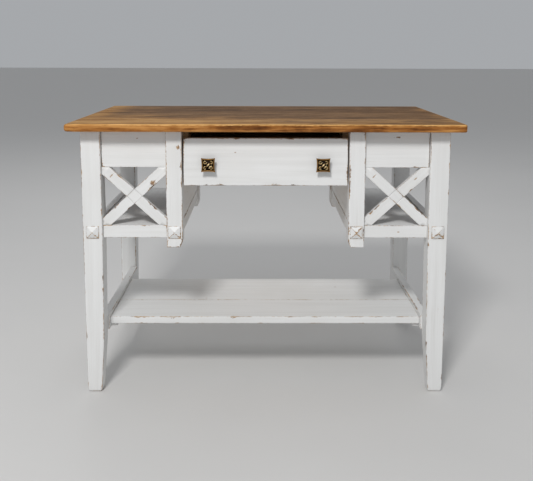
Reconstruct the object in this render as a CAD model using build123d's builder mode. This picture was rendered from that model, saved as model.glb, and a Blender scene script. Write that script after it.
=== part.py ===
from build123d import *
from math import atan2, degrees, hypot
import os

# Plank-topped desk with one centre drawer, two braced cubbies and a low shelf.
# Millimetres. X runs along the desk, the front faces -Y, and Z is up from the floor.
# The origin is on the floor, under the middle of the top.

# ---------------------------------------------------------------- driving dimensions
top_width = 1066.0
top_depth = 660.0
top_height = 762.0
top_thickness = 21.0
top_board_count = 5
top_corner_radius = 7.0
top_edge_radius = 3.0

side_overhang = 34.0
end_overhang = 38.0

leg_size = 53.0
leg_taper_start = 440.0      # height where the slow inner taper begins
leg_knee_height = 150.0      # height where the quick foot taper begins
leg_knee_loss = 4.0          # wood lost from the inner side face at the knee
leg_foot_loss = 14.0         # wood lost from the inner side face at the floor
leg_foot_loss_depth = 13.0   # wood lost from the face towards the middle of the desk

knee_width = 454.0           # clear width between the middle posts
post_size = 43.0
post_bottom = 419.0
post_chamfer = 7.0           # off the lower corner on the knee side
post_chamfer_height = 16.0

apron_height = 101.0
board_thickness = 20.0       # aprons and lower rails
face_recess = 10.5           # front and back boards behind the leg faces
side_recess = 13.0           # side boards behind the leg faces

rail_top = 478.5
rail_height = 34.5
outer_rail_top = 482.0       # stands a little above the cubby floor as a lip
outer_rail_height = 34.0

panel_recess = 6.0           # inner panels behind the posts' knee faces
panel_thickness = 16.0
panel_gap = 3.0              # between the inner lower rail and the panel
panel_tongue = 8.0
panel_tongue_length = 6.0

floor_thickness = 12.0
floor_rabbet = 8.0

brace_width = 29.0
brace_thickness = 18.0
brace_recess = 11.5

pyramid_size = 34.0
pyramid_base = 2.0
pyramid_rise = 8.0

stretcher_top = 206.0
stretcher_height = 42.0
stretcher_thickness = 23.0
stretcher_inner = 445.0      # inner face, from the middle of the desk

shelf_top = 196.0
shelf_thickness = 21.0
shelf_front_gap = 15.0       # behind the front legs
shelf_board_depths = (146.0, 211.0)
shelf_edge_radius = 3.0
cleat_width = 18.0
batten_width = 40.0
batten_thickness = 12.0
cleat_inset = 10.0
batten_inset = 45.0    # out of sight behind the front edge

tenon_thickness = 8.0
tenon_length = 25.0
post_tenon_length = 15.0
tenon_shoulder = 6.0         # from a board's edge to its tenon
mortise_extra = 1.5          # glue space at the bottom of a mortise
joint_fit = 0.1              # clearance on each cheek of a tenon

drawer_width = 447.0
drawer_front_height = 130.0
drawer_front_bottom = 590.0
drawer_front_thickness = 20.0
drawer_recess = 9.0
drawer_depth = 500.0
drawer_side_thickness = 12.0
drawer_side_top = 713.0
drawer_back_top = 708.0
drawer_bottom_thickness = 6.0
drawer_groove_depth = 6.0
drawer_groove_height = 6.5   # from the bottom edge of a side up to its groove
drawer_clearance = 0.5       # under the drawer sides
dovetail_count = 3
dovetail_root = 18.0
dovetail_flare = 3.0

runner_thickness = 16.0
runner_width = 28.0
guide_gap = 1.0
guide_height = 16.0
kicker_width = 21.0
kicker_height = 25.0
stop_width = 120.0
stop_height = 50.0

corner_block_leg = 92.0
corner_block_height = 25.0
corner_screw_inset = (40.0, 36.0)   # from the side apron and from the front apron

screw_length = 38.0
screw_radius = 2.0
screw_head_radius = 4.0
screw_head_height = 3.0
screw_clearance = 0.25

knob_spacing = 310.0
knob_height = 649.0
knob_size = 38.0
knob_hollow = 1.6            # how far each side of the head curves in
knob_base_radius = 8.5
knob_base_thickness = 3.0
knob_neck_radius = 4.5
knob_neck_length = 12.0
knob_head_thickness = 7.0
knob_rim = 3.2
knob_dish = 2.6
knob_lobe_radius = 4.6
knob_lobe_offset = 10.2
knob_bar_width = 3.4
knob_screw_radius = 2.0
knob_screw_length = 30.0
knob_screw_head_radius = 4.5
knob_screw_head_height = 2.5

# ---------------------------------------------------------------- derived positions
top_bottom = top_height - top_thickness
leg_outer = top_width / 2 - side_overhang
leg_inner = leg_outer - leg_size
leg_face = top_depth / 2 - end_overhang
leg_back = leg_face - leg_size

apron_bottom = top_bottom - apron_height
front_board_face = leg_face - face_recess
front_board_back = front_board_face - board_thickness
side_board_face = leg_outer - side_recess
side_board_back = side_board_face - board_thickness
board_tenon_y = (front_board_face + front_board_back) / 2
side_tenon_x = (side_board_face + side_board_back) / 2

post_inner = knee_width / 2
post_outer = post_inner + post_size
post_back = leg_face - post_size

rail_bottom = rail_top - rail_height
outer_rail_bottom = outer_rail_top - outer_rail_height
panel_face = post_inner + panel_recess
inner_rail_back = panel_face + board_thickness
inner_tenon_x = (panel_face + inner_rail_back) / 2
panel_middle = panel_face + panel_thickness / 2
panel_bottom = rail_top + panel_gap

stretcher_outer = stretcher_inner + stretcher_thickness
stretcher_bottom = stretcher_top - stretcher_height
stretcher_tenon_x = (stretcher_inner + stretcher_outer) / 2 + 2.0
shelf_bottom = shelf_top - shelf_thickness
shelf_front = -leg_back + shelf_front_gap
shelf_depth = sum(shelf_board_depths)

drawer_half = drawer_width / 2
drawer_face = -(leg_face - drawer_recess)
drawer_front_back = drawer_face + drawer_front_thickness
drawer_end = drawer_face + drawer_depth
runner_top = drawer_front_bottom + runner_thickness
drawer_side_bottom = runner_top + drawer_clearance
drawer_groove_bottom = drawer_side_bottom + drawer_groove_height
drawer_inner = drawer_half - drawer_side_thickness
dovetail_length = drawer_side_thickness
kicker_bottom = top_bottom - kicker_height

sides = {"left": -1, "right": 1}
ends = {"front": -1, "back": 1}


# ---------------------------------------------------------------- helpers
def slab(xs, ys, zs, mode=Mode.ADD):
    """A block between two opposite corners, added to or cut from the piece being built."""
    with Locations([(sum(xs) / 2, sum(ys) / 2, sum(zs) / 2)]):
        Box(abs(xs[1] - xs[0]), abs(ys[1] - ys[0]), abs(zs[1] - zs[0]), mode=mode)


def around(middle, width):
    """The two ends of a stretch of this width about its middle."""
    return (middle - width / 2, middle + width / 2)


def tenon_heights(bottom, top, grow=0.0):
    """The heights of a tenon on a board, or of its mortise when it grows by the fit."""
    return (bottom + tenon_shoulder - grow, top - tenon_shoulder + grow)


def save(piece, name):
    """Labels a finished piece and writes its file."""
    piece.part.label = name
    export_step(piece.part, f"parts/{name}.step")


def screw_shape(radius, head_radius, head_height, length, mode=Mode.ADD):
    """A countersunk screw standing on its head, for the locations in force."""
    Cylinder(radius, length, align=(Align.CENTER, Align.CENTER, Align.MIN), mode=mode)
    Cone(head_radius, radius, head_height, align=(Align.CENTER, Align.CENTER, Align.MIN), mode=mode)


def screw_holes(planes):
    """Countersunk holes that clear the screws standing at these planes."""
    with Locations(*planes):
        screw_shape(screw_radius + screw_clearance, screw_head_radius + screw_clearance,
                    screw_head_height + screw_clearance, screw_length + screw_clearance,
                    mode=Mode.SUBTRACT)


# ---------------------------------------------------------------- where the screws go
corner_screw_planes = [
    Plane(origin=(sx * (side_board_back - corner_screw_inset[0]),
                  sy * (front_board_back - corner_screw_inset[1]),
                  top_bottom - corner_block_height))
    for sx in sides.values() for sy in ends.values()
]
kicker_screw_planes = [
    Plane(origin=(sx * (panel_face - kicker_width / 2), y, kicker_bottom))
    for sx in sides.values() for y in (-150.0, 150.0)
]
runner_screw_planes = [
    Plane(origin=(sx * (panel_face - runner_width), y, runner_top - runner_thickness / 2),
          x_dir=(0, 1, 0), z_dir=(sx, 0, 0))
    for sx in sides.values() for y in (-200.0, 0.0, 200.0)
]
cleat_screw_planes = [
    Plane(origin=(sx * (stretcher_inner - cleat_width), y, (stretcher_bottom + shelf_bottom) / 2),
          x_dir=(0, 1, 0), z_dir=(sx, 0, 0))
    for sx in sides.values() for y in (-180.0, -45.0, 90.0)
]

os.makedirs("parts", exist_ok=True)

# ---------------------------------------------------------------- top
board_depth = top_depth / top_board_count
for index in range(top_board_count):
    y_front = -top_depth / 2 + index * board_depth
    with BuildPart() as top_board:
        slab((-top_width / 2, top_width / 2), (y_front, y_front + board_depth), (top_bottom, top_height))
        if index == 0:
            outer = top_board.edges().filter_by(Axis.Z).group_by(Axis.Y)[0]
            fillet(outer, radius=top_corner_radius)
            fillet(top_board.faces().sort_by(Axis.Y)[0].edges().filter_by(Axis.X), radius=top_edge_radius)
        elif index == top_board_count - 1:
            outer = top_board.edges().filter_by(Axis.Z).group_by(Axis.Y)[-1]
            fillet(outer, radius=top_corner_radius)
            fillet(top_board.faces().sort_by(Axis.Y)[-1].edges().filter_by(Axis.X), radius=top_edge_radius)
        screw_holes(corner_screw_planes + kicker_screw_planes)
    save(top_board, f"top_board_{index + 1}")


# ---------------------------------------------------------------- legs
def build_leg(name, sx, sy):
    """A square leg, mortised for its boards and tapered on its two inner faces."""
    y_mid = sy * (leg_face - leg_size / 2)
    with BuildPart() as leg:
        slab((sx * leg_inner, sx * leg_outer), (sy * leg_back, sy * leg_face), (0, top_bottom))
        with BuildSketch(Plane.XZ.offset(-y_mid)):
            with BuildLine():
                Polyline((sx * leg_inner, leg_taper_start),
                         (sx * (leg_inner + leg_knee_loss), leg_knee_height),
                         (sx * (leg_inner + leg_foot_loss), 0),
                         (sx * (leg_inner - leg_size), 0),
                         (sx * (leg_inner - leg_size), leg_taper_start),
                         close=True)
            make_face()
        extrude(amount=leg_size, both=True, mode=Mode.SUBTRACT)
        with BuildSketch(Plane.YZ.offset(sx * (leg_inner + leg_size / 2))):
            with BuildLine():
                Polyline((sy * leg_back, leg_knee_height),
                         (sy * (leg_back + leg_foot_loss_depth), 0),
                         (sy * (leg_back - leg_size), 0),
                         (sy * (leg_back - leg_size), leg_knee_height),
                         close=True)
            make_face()
        extrude(amount=leg_size, both=True, mode=Mode.SUBTRACT)
        cheek = around(sy * board_tenon_y, tenon_thickness + 2 * joint_fit)
        into_side = (sx * leg_inner, sx * (leg_inner + tenon_length + mortise_extra))
        slab(into_side, cheek, tenon_heights(apron_bottom, top_bottom, joint_fit), Mode.SUBTRACT)
        slab(into_side, cheek, tenon_heights(rail_bottom, rail_top, joint_fit), Mode.SUBTRACT)
        cheek = around(sx * side_tenon_x, tenon_thickness + 2 * joint_fit)
        into_back = (sy * leg_back, sy * (leg_back + tenon_length + mortise_extra))
        slab(cheek, into_back, tenon_heights(apron_bottom, top_bottom, joint_fit), Mode.SUBTRACT)
        slab(cheek, into_back, tenon_heights(outer_rail_bottom, outer_rail_top, joint_fit), Mode.SUBTRACT)
        cheek = around(sx * stretcher_tenon_x, tenon_thickness + 2 * joint_fit)
        slab(cheek, into_back, tenon_heights(stretcher_bottom, stretcher_top, joint_fit), Mode.SUBTRACT)
    save(leg, name)


for end, sy in ends.items():
    for side, sx in sides.items():
        build_leg(f"leg_{end}_{side}", sx, sy)


# ---------------------------------------------------------------- middle posts
def build_post(name, sx, sy):
    """A short post that hangs below the lower rails, mortised on three sides."""
    with BuildPart() as post:
        slab((sx * post_inner, sx * post_outer), (sy * post_back, sy * leg_face), (post_bottom, top_bottom))
        with BuildSketch(Plane.XZ):
            with BuildLine():
                Polyline((sx * post_inner, post_bottom), (sx * (post_inner + post_chamfer), post_bottom),
                         (sx * post_inner, post_bottom + post_chamfer_height), close=True)
            make_face()
        extrude(amount=top_depth / 2, both=True, mode=Mode.SUBTRACT)
        cheek = around(sy * board_tenon_y, tenon_thickness + 2 * joint_fit)
        into_outer = (sx * post_outer, sx * (post_outer - post_tenon_length - mortise_extra))
        slab(into_outer, cheek, tenon_heights(apron_bottom, top_bottom, joint_fit), Mode.SUBTRACT)
        slab(into_outer, cheek, tenon_heights(rail_bottom, rail_top, joint_fit), Mode.SUBTRACT)
        if sy > 0:
            into_inner = (sx * post_inner, sx * (post_inner + post_tenon_length - mortise_extra))
            slab(into_inner, cheek, tenon_heights(apron_bottom, top_bottom, joint_fit), Mode.SUBTRACT)
        cheek = around(sx * inner_tenon_x, tenon_thickness + 2 * joint_fit)
        into_back = (sy * post_back, sy * (post_back + post_tenon_length + mortise_extra))
        slab(cheek, into_back, tenon_heights(rail_bottom, rail_top, joint_fit), Mode.SUBTRACT)
        groove = around(sx * panel_middle, panel_tongue + 2 * joint_fit)
        slab(groove, (sy * post_back, sy * (post_back + panel_tongue_length + joint_fit)),
             (panel_bottom, top_bottom), Mode.SUBTRACT)
    save(post, name)


for end, sy in ends.items():
    for side, sx in sides.items():
        build_post(f"post_{end}_{side}", sx, sy)


# ---------------------------------------------------------------- aprons and lower rails
def build_cross_board(name, sx, sy, bottom, top, rabbet=False):
    """A board between a leg and a middle post, with a tenon at each end."""
    ys = (sy * front_board_back, sy * front_board_face)
    with BuildPart() as board:
        slab((sx * post_outer, sx * leg_inner), ys, (bottom, top))
        slab((sx * (post_outer - post_tenon_length), sx * (leg_inner + tenon_length)),
             around(sy * board_tenon_y, tenon_thickness), tenon_heights(bottom, top))
        if rabbet:
            slab((sx * post_outer, sx * leg_inner),
                 (sy * front_board_back, sy * (front_board_back + floor_rabbet)),
                 (top - floor_thickness, top), Mode.SUBTRACT)
    save(board, name)


def build_side_board(name, sx, bottom, top):
    """A board between the front and back legs, with a tenon at each end."""
    reach = leg_back + tenon_length
    with BuildPart() as board:
        slab((sx * side_board_back, sx * side_board_face), (-leg_back, leg_back), (bottom, top))
        slab(around(sx * side_tenon_x, tenon_thickness), (-reach, reach), tenon_heights(bottom, top))
    save(board, name)


for side, sx in sides.items():
    for end, sy in ends.items():
        build_cross_board(f"apron_{end}_{side}", sx, sy, apron_bottom, top_bottom)
        build_cross_board(f"lower_rail_{end}_{side}", sx, sy, rail_bottom, rail_top, rabbet=True)
    build_side_board(f"apron_side_{side}", sx, apron_bottom, top_bottom)
    build_side_board(f"lower_rail_outer_{side}", sx, outer_rail_bottom, outer_rail_top)

centre_reach = post_inner + post_tenon_length - 2 * mortise_extra
with BuildPart() as apron_back_centre:
    slab((-post_inner, post_inner), (front_board_back, front_board_face), (apron_bottom, top_bottom))
    slab((-centre_reach, centre_reach), around(board_tenon_y, tenon_thickness),
         tenon_heights(apron_bottom, top_bottom))
save(apron_back_centre, "apron_back_centre")

# ---------------------------------------------------------------- knee-side rails and panels
for side, sx in sides.items():
    reach = post_back + post_tenon_length
    with BuildPart() as inner_rail:
        slab((sx * panel_face, sx * inner_rail_back), (-post_back, post_back), (rail_bottom, rail_top))
        slab(around(sx * inner_tenon_x, tenon_thickness), (-reach, reach),
             tenon_heights(rail_bottom, rail_top))
    save(inner_rail, f"lower_rail_inner_{side}")

    reach = post_back + panel_tongue_length
    with BuildPart() as side_panel:
        slab((sx * panel_face, sx * (panel_face + panel_thickness)), (-post_back, post_back),
             (panel_bottom, top_bottom))
        slab(around(sx * panel_middle, panel_tongue), (-reach, reach), (panel_bottom, top_bottom))
        screw_holes(runner_screw_planes)
    save(side_panel, f"side_panel_{side}")

# ---------------------------------------------------------------- cubby floors
floor_reach = front_board_back + floor_rabbet
for side, sx in sides.items():
    with BuildPart() as cubby_floor:
        slab((sx * inner_rail_back, sx * side_board_back), (-floor_reach, floor_reach),
             (rail_top - floor_thickness, rail_top))
        for sy in ends.values():
            slab((sx * inner_rail_back, sx * post_outer), (sy * post_back, sy * floor_reach),
                 (rail_top - floor_thickness, rail_top), Mode.SUBTRACT)
            slab((sx * leg_inner, sx * side_board_back), (sy * leg_back, sy * floor_reach),
                 (rail_top - floor_thickness, rail_top), Mode.SUBTRACT)
    save(cubby_floor, f"cubby_floor_{side}")

# ---------------------------------------------------------------- crossed braces
opening_width = leg_inner - post_outer
opening_height = apron_bottom - rail_top
opening_middle = ((leg_inner + post_outer) / 2, (apron_bottom + rail_top) / 2)
brace_angle = degrees(atan2(opening_height, opening_width))
brace_length = hypot(opening_width, opening_height) + 2 * brace_width
brace_face = leg_face - brace_recess


def build_brace(name, sx, slope, lap_in_front):
    """One arm, cut to the opening, with half its thickness removed where the arms cross."""
    middle = (sx * opening_middle[0], opening_middle[1])
    with BuildPart() as brace:
        with BuildSketch(Plane.XZ.offset(brace_face - brace_thickness)):
            with Locations(middle):
                Rectangle(opening_width, opening_height)
                Rectangle(brace_length, brace_width, rotation=slope * brace_angle, mode=Mode.INTERSECT)
        extrude(amount=brace_thickness)
        lap_from = brace_face - (brace_thickness / 2 if lap_in_front else brace_thickness)
        with BuildSketch(Plane.XZ.offset(lap_from)):
            with Locations(middle):
                Rectangle(brace_length, brace_width, rotation=-slope * brace_angle)
        extrude(amount=brace_thickness / 2, mode=Mode.SUBTRACT)
    save(brace, name)


for side, sx in sides.items():
    build_brace(f"brace_rising_{side}", sx, 1, lap_in_front=sx > 0)
    build_brace(f"brace_falling_{side}", sx, -1, lap_in_front=sx < 0)

# ---------------------------------------------------------------- pyramid blocks
pyramid_height = (rail_top + rail_bottom) / 2
leg_middle = (leg_inner + leg_outer) / 2
post_middle = (post_inner + post_outer) / 2
with BuildPart() as pyramid_blocks:
    for x in (-leg_middle, -post_middle, post_middle, leg_middle):
        with BuildSketch(Plane.XZ.offset(leg_face)):
            with Locations((x, pyramid_height)):
                Rectangle(pyramid_size, pyramid_size)
        extrude(amount=pyramid_base)
        with BuildSketch(Plane.XZ.offset(leg_face + pyramid_base)):
            with Locations((x, pyramid_height)):
                Rectangle(pyramid_size, pyramid_size)
        with BuildSketch(Plane.XZ.offset(leg_face + pyramid_base + pyramid_rise)):
            with Locations((x, pyramid_height)):
                Rectangle(joint_fit, joint_fit)
        loft()
save(pyramid_blocks, "pyramid_blocks")

# ---------------------------------------------------------------- stretchers and shelf
for side, sx in sides.items():
    reach = leg_back + tenon_length
    with BuildPart() as stretcher:
        slab((sx * stretcher_inner, sx * stretcher_outer), (-leg_back, leg_back),
             (stretcher_bottom, stretcher_top))
        slab(around(sx * stretcher_tenon_x, tenon_thickness), (-reach, reach),
             tenon_heights(stretcher_bottom, stretcher_top))
        screw_holes(cleat_screw_planes)
    save(stretcher, f"stretcher_{side}")

    with BuildPart() as shelf_cleat:
        slab((sx * (stretcher_inner - cleat_width), sx * stretcher_inner),
             (shelf_front + cleat_inset, shelf_front + shelf_depth - cleat_inset),
             (stretcher_bottom, shelf_bottom))
        screw_holes(cleat_screw_planes)
    save(shelf_cleat, f"shelf_cleat_{side}")

shelf_seam = shelf_front + shelf_board_depths[0]
with BuildPart() as shelf_board_front:
    slab((-stretcher_inner, stretcher_inner), (shelf_front, shelf_seam), (shelf_bottom, shelf_top))
    fillet(shelf_board_front.faces().sort_by(Axis.Y)[0].edges().filter_by(Axis.X), radius=shelf_edge_radius)
save(shelf_board_front, "shelf_board_front")

with BuildPart() as shelf_board_back:
    slab((-stretcher_inner, stretcher_inner), (shelf_seam, shelf_front + shelf_depth),
         (shelf_bottom, shelf_top))
    fillet(shelf_board_back.faces().sort_by(Axis.Y)[-1].edges().filter_by(Axis.X), radius=shelf_edge_radius)
save(shelf_board_back, "shelf_board_back")

with BuildPart() as shelf_batten:
    slab(around(0, batten_width),
         (shelf_front + batten_inset, shelf_front + shelf_depth - batten_inset),
         (shelf_bottom - batten_thickness, shelf_bottom))
save(shelf_batten, "shelf_batten")

# ---------------------------------------------------------------- drawer runners, kickers and stop
for side, sx in sides.items():
    with BuildPart() as drawer_runner:
        slab((sx * (panel_face - runner_width), sx * panel_face), (-post_back, post_back),
             (drawer_front_bottom, runner_top))
        slab((sx * (drawer_half + guide_gap), sx * panel_face), (-post_back, post_back),
             (runner_top, runner_top + guide_height))
        screw_holes(runner_screw_planes)
    save(drawer_runner, f"drawer_runner_{side}")

    with BuildPart() as drawer_kicker:
        slab((sx * (panel_face - kicker_width), sx * panel_face), (-post_back, post_back),
             (kicker_bottom, top_bottom))
        screw_holes(kicker_screw_planes)
    save(drawer_kicker, f"drawer_kicker_{side}")

with BuildPart() as drawer_stop:
    slab(around(0, stop_width), (drawer_end + guide_gap, front_board_back),
         (apron_bottom, apron_bottom + stop_height))
save(drawer_stop, "drawer_stop")

# ---------------------------------------------------------------- corner blocks and screws
with BuildPart() as corner_blocks:
    for sx in sides.values():
        for sy in ends.values():
            corner = (sx * side_board_back, sy * front_board_back)
            with BuildSketch(Plane.XY.offset(top_bottom - corner_block_height)):
                with BuildLine():
                    Polyline(corner,
                             (corner[0] - sx * corner_block_leg, corner[1]),
                             (corner[0], corner[1] - sy * corner_block_leg),
                             close=True)
                make_face()
            extrude(amount=corner_block_height)
            slab((sx * (leg_inner - joint_fit), sx * leg_outer),
                 (sy * (leg_back - joint_fit), sy * leg_face),
                 (top_bottom - corner_block_height, top_bottom), Mode.SUBTRACT)
    screw_holes(corner_screw_planes)
save(corner_blocks, "corner_blocks")

with BuildPart() as wood_screws:
    with Locations(*corner_screw_planes, *kicker_screw_planes, *runner_screw_planes, *cleat_screw_planes):
        screw_shape(screw_radius, screw_head_radius, screw_head_height, screw_length)
save(wood_screws, "wood_screws")

# ---------------------------------------------------------------- drawer box
tail_pitch = (drawer_side_top - drawer_side_bottom) / dovetail_count
tail_middles = [drawer_side_bottom + tail_pitch * (i + 0.5) for i in range(dovetail_count)]


dovetail_tip = drawer_front_back - dovetail_length
tail_outlines = [
    [(drawer_front_back, z - dovetail_root / 2),
     (dovetail_tip, z - dovetail_root / 2 - dovetail_flare),
     (dovetail_tip, z + dovetail_root / 2 + dovetail_flare),
     (drawer_front_back, z + dovetail_root / 2)]
    for z in tail_middles
]
groove_top = drawer_groove_bottom + drawer_bottom_thickness + 2 * joint_fit
front_screw_planes = [
    Plane(origin=(sx * knob_spacing / 2, drawer_front_back, knob_height), x_dir=(1, 0, 0), z_dir=(0, -1, 0))
    for sx in sides.values()
]

with BuildPart() as drawer_front:
    slab((-drawer_half, drawer_half), (drawer_face, drawer_front_back),
         (drawer_front_bottom, drawer_front_bottom + drawer_front_height))
    for x_low in (-drawer_half, drawer_inner):
        with BuildSketch(Plane.YZ.offset(x_low)):
            for outline in tail_outlines:
                with BuildLine():
                    Polyline(*outline, close=True)
                make_face()
        extrude(amount=drawer_side_thickness, mode=Mode.SUBTRACT)
    slab((-drawer_inner - drawer_groove_depth, drawer_inner + drawer_groove_depth),
         (drawer_front_back - drawer_groove_depth, drawer_front_back),
         (drawer_groove_bottom, groove_top), Mode.SUBTRACT)
    with Locations(*front_screw_planes):
        Cylinder(knob_screw_radius + screw_clearance, drawer_front_thickness,
                 align=(Align.CENTER, Align.CENTER, Align.MIN), mode=Mode.SUBTRACT)
save(drawer_front, "drawer_front")

back_front = drawer_end - 2 * drawer_side_thickness
back_end = back_front + drawer_side_thickness
for side, sx in sides.items():
    with BuildPart() as drawer_side:
        slab((sx * drawer_inner, sx * drawer_half), (drawer_front_back, drawer_end),
             (drawer_side_bottom, drawer_side_top))
        with BuildSketch(Plane.YZ.offset(min(sx * drawer_inner, sx * drawer_half))):
            for outline in tail_outlines:
                with BuildLine():
                    Polyline(*outline, close=True)
                make_face()
        extrude(amount=drawer_side_thickness)
        slab((sx * drawer_inner, sx * (drawer_inner + drawer_groove_depth)),
             (drawer_front_back - dovetail_length, drawer_end),
             (drawer_groove_bottom, groove_top), Mode.SUBTRACT)
        slab((sx * drawer_inner, sx * (drawer_inner + drawer_groove_depth)), (back_front, back_end),
             (groove_top, drawer_side_top), Mode.SUBTRACT)
    save(drawer_side, f"drawer_side_{side}")

bottom_half = drawer_inner + drawer_groove_depth - 2 * joint_fit
with BuildPart() as drawer_bottom:
    slab((-bottom_half, bottom_half), (drawer_front_back - drawer_groove_depth + joint_fit, drawer_end),
         (drawer_groove_bottom, drawer_groove_bottom + drawer_bottom_thickness))
save(drawer_bottom, "drawer_bottom")

with BuildPart() as drawer_back:
    slab((-bottom_half, bottom_half), (back_front, back_end), (groove_top, drawer_back_top))
save(drawer_back, "drawer_back")

# ---------------------------------------------------------------- knobs
knob_back = -drawer_face
neck_start = knob_back + knob_base_thickness
head_start = neck_start + knob_neck_length
head_front = head_start + knob_head_thickness
knob_screw_tip = knob_screw_length - drawer_front_thickness


def hollow_square(half, hollow):
    """The arcs of a square outline whose four sides curve in towards the middle."""
    corners = [(-half, -half), (half, -half), (half, half), (-half, half)]
    middles = [(0, hollow - half), (half - hollow, 0), (0, half - hollow), (hollow - half, 0)]
    return [(corners[i], middles[i], corners[(i + 1) % len(corners)]) for i in range(len(corners))]


for side, sx in sides.items():
    knob_at = Plane(origin=(sx * knob_spacing / 2, 0, knob_height), x_dir=(1, 0, 0), z_dir=(0, -1, 0))
    with BuildPart() as knob:
        with BuildSketch(knob_at.offset(knob_back)):
            Circle(knob_base_radius)
        extrude(amount=knob_base_thickness)
        with BuildSketch(knob_at.offset(neck_start)):
            Circle(knob_neck_radius)
        extrude(amount=knob_neck_length)
        with BuildSketch(knob_at.offset(head_start)):
            with BuildLine():
                for arc in hollow_square(knob_size / 2, knob_hollow):
                    ThreePointArc(*arc)
            make_face()
        extrude(amount=knob_head_thickness)
        with BuildSketch(knob_at.offset(head_front - knob_dish)):
            with BuildLine():
                for arc in hollow_square(knob_size / 2 - knob_rim, knob_hollow):
                    ThreePointArc(*arc)
            make_face()
        extrude(amount=knob_dish, mode=Mode.SUBTRACT)
        with BuildSketch(knob_at.offset(head_front - knob_dish)):
            with GridLocations(2 * knob_lobe_offset, 2 * knob_lobe_offset, 2, 2):
                Circle(knob_lobe_radius)
            Rectangle(2 * knob_lobe_offset * 1.2, knob_bar_width, rotation=45)
            Rectangle(2 * knob_lobe_offset * 1.2, knob_bar_width, rotation=-45)
        extrude(amount=knob_dish)
        with BuildSketch(knob_at.offset(knob_back)):
            Circle(knob_screw_radius + screw_clearance)
        extrude(amount=knob_screw_tip + screw_clearance, mode=Mode.SUBTRACT)
    save(knob, f"knob_{side}")

with BuildPart() as knob_screws:
    with Locations(*front_screw_planes):
        Cylinder(knob_screw_radius, knob_screw_length, align=(Align.CENTER, Align.CENTER, Align.MIN))
        Cylinder(knob_screw_head_radius, knob_screw_head_height,
                 align=(Align.CENTER, Align.CENTER, Align.MAX))
save(knob_screws, "knob_screws")
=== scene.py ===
import math
import random

import bmesh
import bpy
from mathutils import Matrix, Vector, noise


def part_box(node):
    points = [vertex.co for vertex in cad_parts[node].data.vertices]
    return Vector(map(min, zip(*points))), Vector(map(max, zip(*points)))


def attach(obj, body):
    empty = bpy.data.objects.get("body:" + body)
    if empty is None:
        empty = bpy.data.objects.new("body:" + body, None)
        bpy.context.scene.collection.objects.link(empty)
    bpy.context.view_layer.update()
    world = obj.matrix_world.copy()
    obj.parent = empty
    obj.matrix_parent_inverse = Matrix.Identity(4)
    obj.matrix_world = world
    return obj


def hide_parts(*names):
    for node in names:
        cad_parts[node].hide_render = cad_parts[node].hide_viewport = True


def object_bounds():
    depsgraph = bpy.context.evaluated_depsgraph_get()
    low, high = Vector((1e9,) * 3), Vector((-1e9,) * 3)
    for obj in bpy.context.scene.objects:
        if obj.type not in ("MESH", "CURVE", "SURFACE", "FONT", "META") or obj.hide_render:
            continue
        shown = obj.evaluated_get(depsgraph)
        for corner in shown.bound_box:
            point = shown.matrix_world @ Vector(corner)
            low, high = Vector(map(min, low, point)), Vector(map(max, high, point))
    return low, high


# A white-painted farmhouse desk with a stained plank top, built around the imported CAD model.
# Lengths are metres, apart from those said to be millimetres. +X runs along the desk, the front faces -Y,
# and +Z is up from the floor.

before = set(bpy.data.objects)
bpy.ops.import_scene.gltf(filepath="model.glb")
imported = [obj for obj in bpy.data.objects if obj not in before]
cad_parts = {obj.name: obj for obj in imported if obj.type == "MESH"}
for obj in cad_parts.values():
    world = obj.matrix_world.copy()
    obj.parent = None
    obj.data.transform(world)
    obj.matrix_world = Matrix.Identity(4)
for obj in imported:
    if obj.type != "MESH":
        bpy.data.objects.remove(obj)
cad_low, cad_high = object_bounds()

MM = 0.001
X, Y, Z = 0, 1, 2
SIDES = {"left": -1, "right": 1}
ENDS = {"front": -1, "back": 1}


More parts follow.
